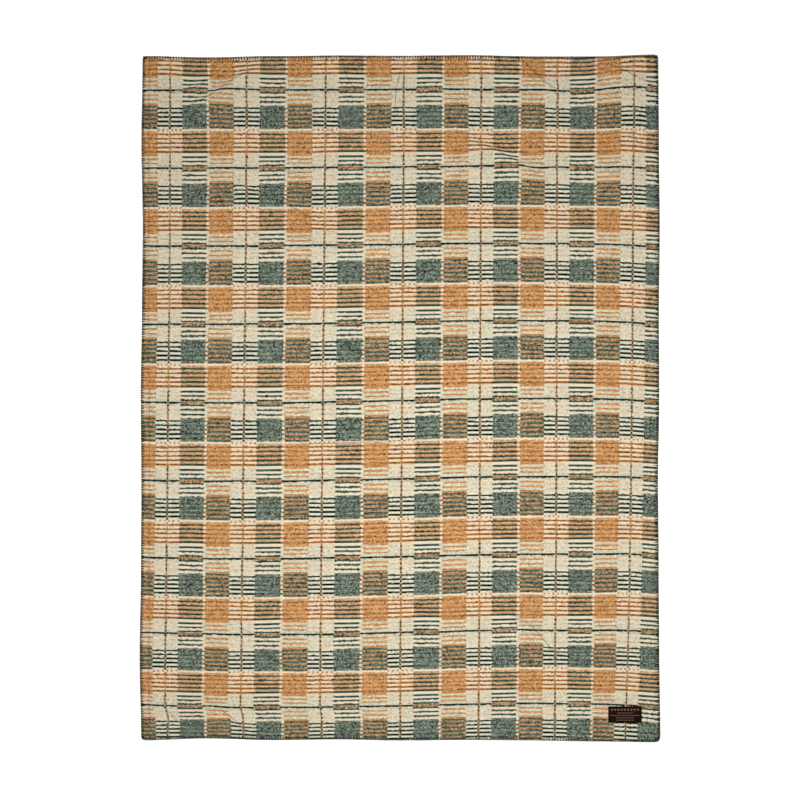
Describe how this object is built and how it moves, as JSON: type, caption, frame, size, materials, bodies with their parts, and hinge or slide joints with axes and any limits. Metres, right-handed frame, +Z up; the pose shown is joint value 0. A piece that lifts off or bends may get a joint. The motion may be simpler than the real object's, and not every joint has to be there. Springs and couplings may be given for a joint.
{
  "type": "camp blanket",
  "caption": "Woven plaid camp blanket with a dark blanket-stitched edge and a small sewn-on woven label, laid out flat.",
  "frame": {"origin": "middle of the underside of the blanket as it lies flat", "axes": "+X across the width towards the side that carries the label, +Y along the length away from the label, +Z up off the surface it lies on"},
  "size_m": [1.524, 2.0142, 0.0054],
  "materials": {
    "blanket_cloth": "napped jacquard plaid in teal, orange and cream",
    "edge_yarn": "thick matte yarn, near black",
    "label_ground": "dense black damask",
    "label_gold": "gold woven weft",
    "sewing_thread": "black polyester sewing thread"
  },
  "bodies": {
    "root": {"blanket_cloth": "blanket_cloth", "edge_purl_yarn": "edge_yarn", "edge_wrap_yarn": "edge_yarn", "label_patch": "label_ground", "label_motif": "label_gold", "label_needle_thread": "sewing_thread", "label_bobbin_thread": "sewing_thread"}
  },
  "joints": []
}
